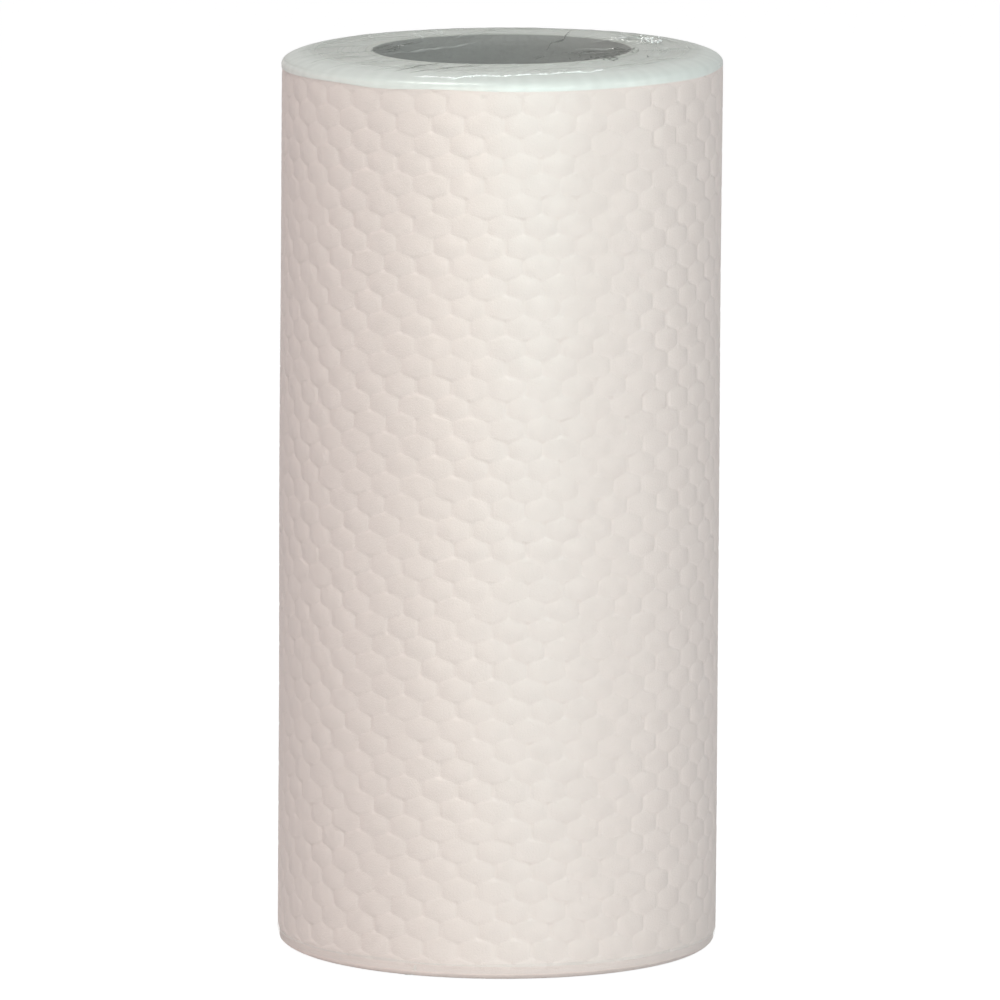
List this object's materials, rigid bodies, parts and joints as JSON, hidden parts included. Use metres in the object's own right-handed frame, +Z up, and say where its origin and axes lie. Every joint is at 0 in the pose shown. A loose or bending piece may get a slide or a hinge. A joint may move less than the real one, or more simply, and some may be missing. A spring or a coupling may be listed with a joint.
{
  "type": "cleaning cloth roll",
  "caption": "Upright roll of white embossed cleaning cloth wound on a board core and sealed in clear shrink film that closes over both ends.",
  "frame": {"origin": "middle of the bottom end, on the surface that the roll stands on", "axes": "+Z up along the roll's axis, -Y to the front, and the loose end of the cloth at the back, near +Y"},
  "size_m": [0.122, 0.122, 0.25],
  "materials": {
    "cloth": "matt embossed nonwoven cloth",
    "core_board": "plain grey wound board",
    "clear_film": "clear glossy shrink film"
  },
  "bodies": {
    "root": {"cloth_roll": "cloth", "core_tube": "core_board", "film_wrap": "clear_film"}
  },
  "joints": []
}
